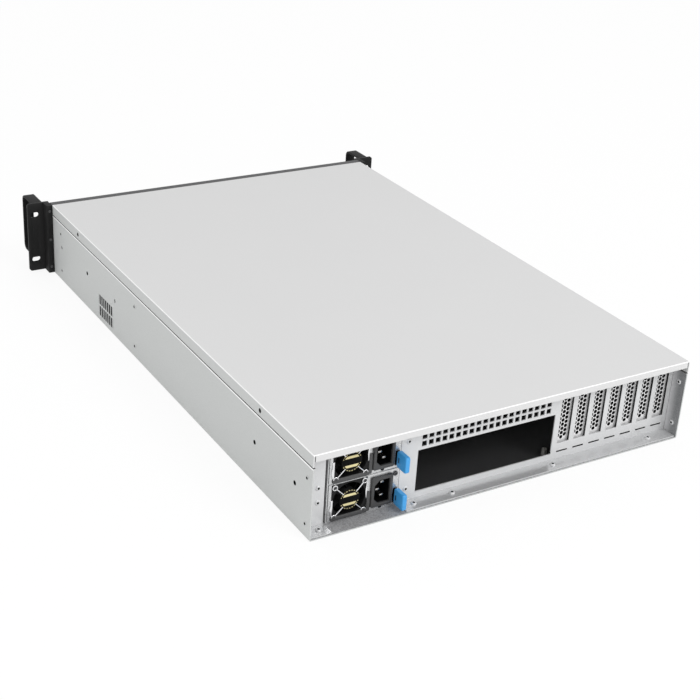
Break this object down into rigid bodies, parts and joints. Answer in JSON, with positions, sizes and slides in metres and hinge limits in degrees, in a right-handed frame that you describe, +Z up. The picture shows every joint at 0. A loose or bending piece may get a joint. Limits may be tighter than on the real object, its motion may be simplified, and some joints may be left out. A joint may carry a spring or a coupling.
{
  "type": "barebone server",
  "caption": "Two-unit rack server chassis with sheet cover, perforated slot covers, hot-swap supply modules, drive trays, fans, rack ears and pull handles.",
  "frame": {"origin": "middle of the chassis's flat underside, midway between its front face and its rear rim", "axes": "+Y towards the supply modules and slots, -Y towards the drive bays, +Z up"},
  "size_m": [0.4826, 0.691, 0.088],
  "materials": {
    "cover_sheet": "fine satin",
    "base_sheet": "satin",
    "zinc_sheet": "zinc plated",
    "black_metal": "fine matt",
    "dark_metal": "satin",
    "black_plastic": "matt",
    "blue_plastic": "satin",
    "wire": "bright",
    "board": "solder mask",
    "brass": "turned"
  },
  "bodies": {
    "chassis": {"chassis_base": "base_sheet", "top_cover": "cover_sheet", "rear_panel": "zinc_sheet", "front_frame": "dark_metal", "ear_right": "black_metal", "ear_left": "black_metal", "handle_right": "black_metal", "handle_left": "black_metal", "drive_cage": "zinc_sheet", "backplane": "board", "fan_wall": "zinc_sheet", "psu_cage": "zinc_sheet", "psu_power_board": "board", "standoffs": "brass", "fan_frame_1": "black_plastic", "fan_frame_2": "black_plastic", "fan_frame_3": "black_plastic", "slot_cover_1": "zinc_sheet", "slot_cover_2": "zinc_sheet", "slot_cover_3": "zinc_sheet", "slot_cover_4": "zinc_sheet", "slot_cover_5": "zinc_sheet", "slot_cover_6": "zinc_sheet", "slot_cover_7": "zinc_sheet"},
    "tray_1": {"drive_tray_1": "black_plastic"},
    "tray_lever_1": {"tray_lever_1": "black_plastic"},
    "tray_2": {"drive_tray_2": "black_plastic"},
    "tray_lever_2": {"tray_lever_2": "black_plastic"},
    "tray_3": {"drive_tray_3": "black_plastic"},
    "tray_lever_3": {"tray_lever_3": "black_plastic"},
    "tray_4": {"drive_tray_4": "black_plastic"},
    "tray_lever_4": {"tray_lever_4": "black_plastic"},
    "tray_5": {"drive_tray_5": "black_plastic"},
    "tray_lever_5": {"tray_lever_5": "black_plastic"},
    "tray_6": {"drive_tray_6": "black_plastic"},
    "tray_lever_6": {"tray_lever_6": "black_plastic"},
    "tray_7": {"drive_tray_7": "black_plastic"},
    "tray_lever_7": {"tray_lever_7": "black_plastic"},
    "tray_8": {"drive_tray_8": "black_plastic"},
    "tray_lever_8": {"tray_lever_8": "black_plastic"},
    "fan_rotor_1": {"fan_rotor_1": "black_plastic"},
    "fan_rotor_2": {"fan_rotor_2": "black_plastic"},
    "fan_rotor_3": {"fan_rotor_3": "black_plastic"},
    "psu_1": {"psu_housing_1": "zinc_sheet", "psu_fan_frame_1": "black_plastic", "psu_fan_guard_1": "wire", "psu_inlet_1": "black_plastic"},
    "psu_rotor_1": {"psu_fan_rotor_1": "black_plastic"},
    "psu_latch_1": {"psu_lever_1": "black_metal", "psu_grip_1": "blue_plastic"},
    "psu_2": {"psu_housing_2": "zinc_sheet", "psu_fan_frame_2": "black_plastic", "psu_fan_guard_2": "wire", "psu_inlet_2": "black_plastic"},
    "psu_rotor_2": {"psu_fan_rotor_2": "black_plastic"},
    "psu_latch_2": {"psu_lever_2": "black_metal", "psu_grip_2": "blue_plastic"},
    "power_button": {"power_button": "black_plastic"},
    "reset_button": {"reset_button": "black_plastic"}
  },
  "joints": [
    {"name": "tray_slide_1", "type": "slide", "parent": "chassis", "child": "tray_1", "axis": [0, -1, 0], "range_m": [0, 0.19]},
    {"name": "tray_lever_swing_1", "type": "hinge", "parent": "tray_1", "child": "tray_lever_1", "pos_m": [-0.1978, -0.3271, 0.0232], "axis": [0, 0, -1], "range_deg": [0, 70]},
    {"name": "tray_slide_2", "type": "slide", "parent": "chassis", "child": "tray_2", "axis": [0, -1, 0], "range_m": [0, 0.19]},
    {"name": "tray_lever_swing_2", "type": "hinge", "parent": "tray_2", "child": "tray_lever_2", "pos_m": [-0.1978, -0.3271, 0.0602], "axis": [0, 0, -1], "range_deg": [0, 70]},
    {"name": "tray_slide_3", "type": "slide", "parent": "chassis", "child": "tray_3", "axis": [0, -1, 0], "range_m": [0, 0.19]},
    {"name": "tray_lever_swing_3", "type": "hinge", "parent": "tray_3", "child": "tray_lever_3", "pos_m": [-0.0922, -0.3271, 0.0232], "axis": [0, 0, -1], "range_deg": [0, 70]},
    {"name": "tray_slide_4", "type": "slide", "parent": "chassis", "child": "tray_4", "axis": [0, -1, 0], "range_m": [0, 0.19]},
    {"name": "tray_lever_swing_4", "type": "hinge", "parent": "tray_4", "child": "tray_lever_4", "pos_m": [-0.0922, -0.3271, 0.0602], "axis": [0, 0, -1], "range_deg": [0, 70]},
    {"name": "tray_slide_5", "type": "slide", "parent": "chassis", "child": "tray_5", "axis": [0, -1, 0], "range_m": [0, 0.19]},
    {"name": "tray_lever_swing_5", "type": "hinge", "parent": "tray_5", "child": "tray_lever_5", "pos_m": [0.0134, -0.3271, 0.0232], "axis": [0, 0, -1], "range_deg": [0, 70]},
    {"name": "tray_slide_6", "type": "slide", "parent": "chassis", "child": "tray_6", "axis": [0, -1, 0], "range_m": [0, 0.19]},
    {"name": "tray_lever_swing_6", "type": "hinge", "parent": "tray_6", "child": "tray_lever_6", "pos_m": [0.0134, -0.3271, 0.0602], "axis": [0, 0, -1], "range_deg": [0, 70]},
    {"name": "tray_slide_7", "type": "slide", "parent": "chassis", "child": "tray_7", "axis": [0, -1, 0], "range_m": [0, 0.19]},
    {"name": "tray_lever_swing_7", "type": "hinge", "parent": "tray_7", "child": "tray_lever_7", "pos_m": [0.119, -0.3271, 0.0232], "axis": [0, 0, -1], "range_deg": [0, 70]},
    {"name": "tray_slide_8", "type": "slide", "parent": "chassis", "child": "tray_8", "axis": [0, -1, 0], "range_m": [0, 0.19]},
    {"name": "tray_lever_swing_8", "type": "hinge", "parent": "tray_8", "child": "tray_lever_8", "pos_m": [0.119, -0.3271, 0.0602], "axis": [0, 0, -1], "range_deg": [0, 70]},
    {"name": "fan_spin_1", "type": "hinge", "parent": "chassis", "child": "fan_rotor_1", "pos_m": [-0.138, -0.08, 0.0424], "axis": [0, 1, 0], "continuous": true},
    {"name": "fan_spin_2", "type": "hinge", "parent": "chassis", "child": "fan_rotor_2", "pos_m": [0, -0.08, 0.0424], "axis": [0, 1, 0], "continuous": true},
    {"name": "fan_spin_3", "type": "hinge", "parent": "chassis", "child": "fan_rotor_3", "pos_m": [0.138, -0.08, 0.0424], "axis": [0, 1, 0], "continuous": true},
    {"name": "psu_slide_1", "type": "slide", "parent": "chassis", "child": "psu_1", "axis": [0, 1, 0], "range_m": [0, 0.195]},
    {"name": "psu_fan_spin_1", "type": "hinge", "parent": "psu_1", "child": "psu_rotor_1", "pos_m": [0.166, 0.295, 0.02165], "axis": [0, 1, 0], "continuous": true},
    {"name": "psu_latch_press_1", "type": "hinge", "parent": "psu_1", "child": "psu_latch_1", "pos_m": [0.1161, 0.27, 0.0122], "axis": [0, 0, -1], "range_deg": [0, 3], "stiffness_Nm_per_rad": 2},
    {"name": "psu_slide_2", "type": "slide", "parent": "chassis", "child": "psu_2", "axis": [0, 1, 0], "range_m": [0, 0.195]},
    {"name": "psu_fan_spin_2", "type": "hinge", "parent": "psu_2", "child": "psu_rotor_2", "pos_m": [0.166, 0.295, 0.06135], "axis": [0, 1, 0], "continuous": true},
    {"name": "psu_latch_press_2", "type": "hinge", "parent": "psu_2", "child": "psu_latch_2", "pos_m": [0.1161, 0.27, 0.0519], "axis": [0, 0, -1], "range_deg": [0, 3], "stiffness_Nm_per_rad": 2},
    {"name": "power_button_press", "type": "slide", "parent": "chassis", "child": "power_button", "axis": [0, 1, 0], "range_m": [0, 0.001], "stiffness_N_per_m": 400},
    {"name": "reset_button_press", "type": "slide", "parent": "chassis", "child": "reset_button", "axis": [0, 1, 0], "range_m": [0, 0.001], "stiffness_N_per_m": 400}
  ]
}
